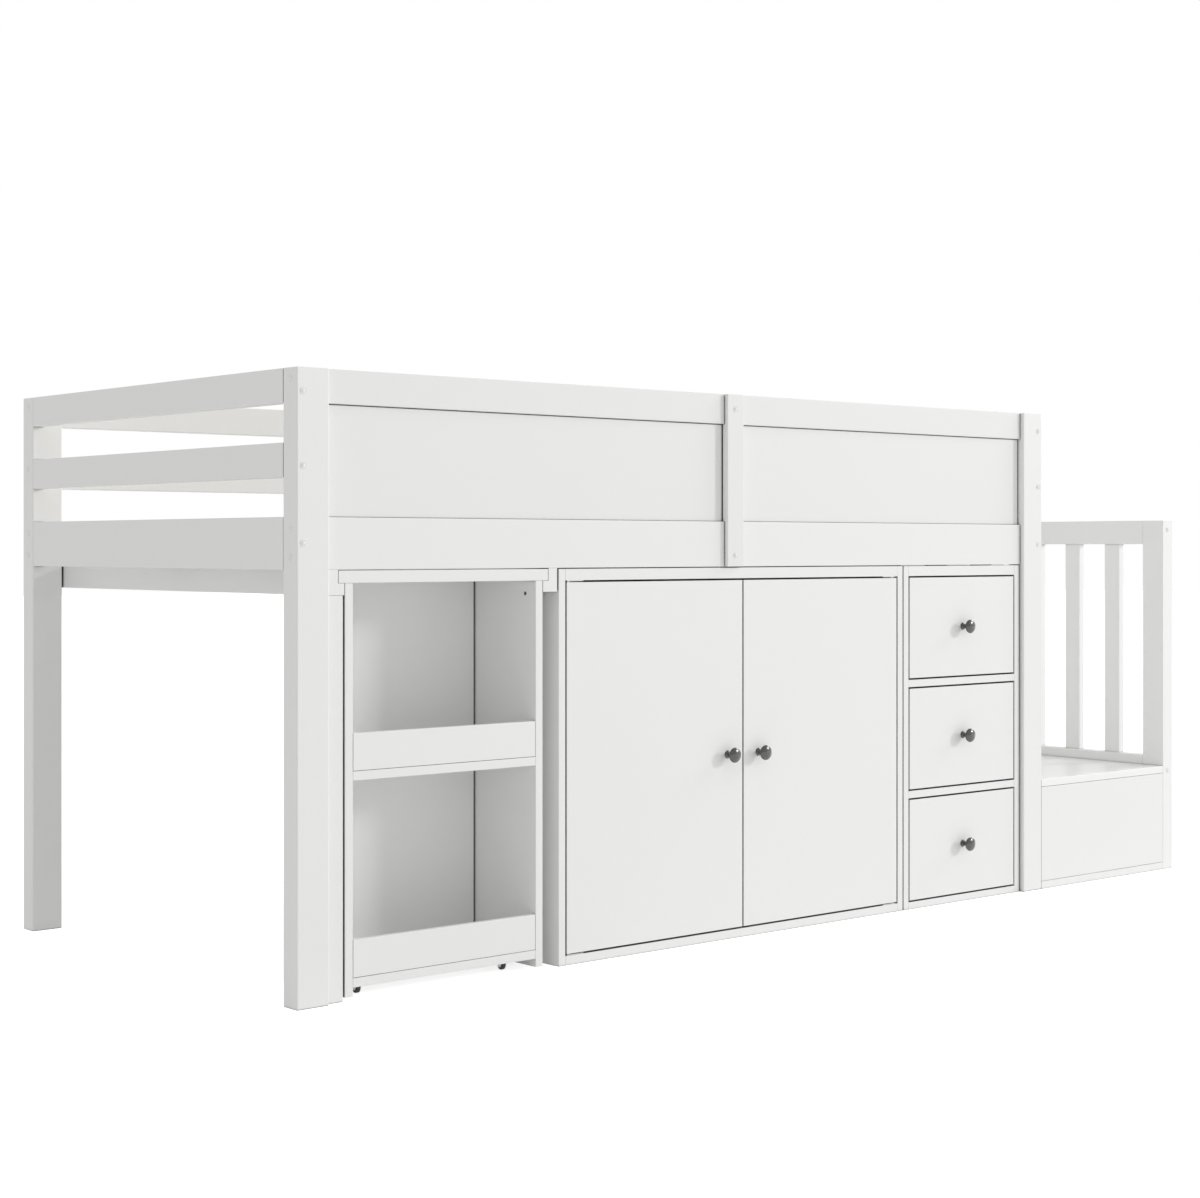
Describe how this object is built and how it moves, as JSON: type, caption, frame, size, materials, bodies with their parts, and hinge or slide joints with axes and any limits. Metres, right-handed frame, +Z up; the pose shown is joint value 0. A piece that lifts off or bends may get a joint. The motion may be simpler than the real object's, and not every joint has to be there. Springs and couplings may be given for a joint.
{
  "type": "loft bed",
  "caption": "Low white loft bed with panelled guard, pull-out desk and shelf unit on castors, two-door cabinet, drawer unit, and steps with a slatted railing.",
  "frame": {"origin": "middle of the whole footprint, on the floor", "axes": "+X along the bed from the open end to the steps, +Y from the front to the back, +Z up"},
  "size_m": [2.5202, 1.0792, 1.1],
  "materials": {
    "white_paint": "white satin painted solid wood",
    "white_board": "white satin painted board",
    "bare_wood": "bare sanded softwood",
    "knob_metal": "dark gunmetal, satin",
    "zinc_steel": "zinc plated",
    "castor_wheel": "dark hard plastic",
    "white_cap": "white plastic cover"
  },
  "bodies": {
    "bed": {"post_front_left": "white_paint", "post_front_right": "white_paint", "post_back_left": "white_paint", "post_back_right": "white_paint", "front_top_rail": "white_paint", "front_side_rail": "white_paint", "front_stile": "white_paint", "front_guard_panels": "white_board", "back_guard_rails": "white_paint", "back_side_rail": "white_paint", "left_end_guard_rails": "white_paint", "left_end_side_rail": "white_paint", "right_end_guard_rails": "white_paint", "right_end_side_rail": "white_paint", "entry_post": "white_paint", "slat_supports": "bare_wood", "mattress_slats": "bare_wood", "bolt_caps": "white_cap", "desk_rails": "white_paint", "desk_rail_leg": "white_paint", "step_treads": "white_board", "step_risers": "white_board", "step_carcase": "white_board", "railing_posts": "white_paint", "railing_rails": "white_paint", "railing_balusters": "white_paint", "cabinet_sides": "white_board", "cabinet_top": "white_board", "cabinet_bottom": "white_board", "cabinet_back": "white_board", "cabinet_shelf": "white_board", "door_pivots": "zinc_steel", "drawer_case_sides": "white_board", "drawer_case_boards": "white_board", "drawer_case_back": "white_board", "drawer_runners": "bare_wood", "packing_strips": "bare_wood"},
    "left_door": {"left_door": "white_board", "left_door_knob": "knob_metal"},
    "right_door": {"right_door": "white_board", "right_door_knob": "knob_metal"},
    "desk": {"desktop": "white_board", "shelf_unit_sides": "white_board", "shelf_unit_shelves": "white_board", "shelf_unit_lips": "white_board", "shelf_unit_back": "white_board", "castor_brackets": "zinc_steel"},
    "top_drawer": {"top_drawer_front": "white_board", "top_drawer_box": "white_board", "top_drawer_knob": "knob_metal"},
    "middle_drawer": {"middle_drawer_front": "white_board", "middle_drawer_box": "white_board", "middle_drawer_knob": "knob_metal"},
    "bottom_drawer": {"bottom_drawer_front": "white_board", "bottom_drawer_box": "white_board", "bottom_drawer_knob": "knob_metal"},
    "front_left_castor_wheel": {"front_left_castor_wheel": "castor_wheel"},
    "front_right_castor_wheel": {"front_right_castor_wheel": "castor_wheel"},
    "rear_left_castor_wheel": {"rear_left_castor_wheel": "castor_wheel"},
    "rear_right_castor_wheel": {"rear_right_castor_wheel": "castor_wheel"}
  },
  "joints": [
    {"name": "left_door_hinge", "type": "hinge", "parent": "bed", "child": "left_door", "pos_m": [-0.6492, -0.5036, 0.3732], "axis": [0, 0, -1], "range_deg": [0, 90]},
    {"name": "right_door_hinge", "type": "hinge", "parent": "bed", "child": "right_door", "pos_m": [0.2568, -0.5036, 0.3732], "axis": [0, 0, 1], "range_deg": [0, 90]},
    {"name": "desk_slide", "type": "slide", "parent": "bed", "child": "desk", "axis": [0, -1, 0], "range_m": [0, 0.6]},
    {"name": "top_drawer_slide", "type": "slide", "parent": "bed", "child": "top_drawer", "axis": [0, -1, 0], "range_m": [0, 0.33]},
    {"name": "middle_drawer_slide", "type": "slide", "parent": "bed", "child": "middle_drawer", "axis": [0, -1, 0], "range_m": [0, 0.33]},
    {"name": "bottom_drawer_slide", "type": "slide", "parent": "bed", "child": "bottom_drawer", "axis": [0, -1, 0], "range_m": [0, 0.33]},
    {"name": "front_left_castor_spin", "type": "hinge", "parent": "desk", "child": "front_left_castor_wheel", "pos_m": [-1.097, -0.4601, 0.009], "axis": [1, 0, 0], "range_deg": [-45, 3900]},
    {"name": "front_right_castor_spin", "type": "hinge", "parent": "desk", "child": "front_right_castor_wheel", "pos_m": [-0.773, -0.4601, 0.009], "axis": [1, 0, 0], "range_deg": [-45, 3900]},
    {"name": "rear_left_castor_spin", "type": "hinge", "parent": "desk", "child": "rear_left_castor_wheel", "pos_m": [-1.097, -0.3611, 0.009], "axis": [1, 0, 0], "range_deg": [-45, 3900]},
    {"name": "rear_right_castor_spin", "type": "hinge", "parent": "desk", "child": "rear_right_castor_wheel", "pos_m": [-0.773, -0.3611, 0.009], "axis": [1, 0, 0], "range_deg": [-45, 3900]}
  ],
  "couplings": [
    {"joint": "front_left_castor_spin", "follows": "desk_slide", "rad_per_m": 111.11},
    {"joint": "front_right_castor_spin", "follows": "desk_slide", "rad_per_m": 111.11},
    {"joint": "rear_left_castor_spin", "follows": "desk_slide", "rad_per_m": 111.11},
    {"joint": "rear_right_castor_spin", "follows": "desk_slide", "rad_per_m": 111.11}
  ]
}
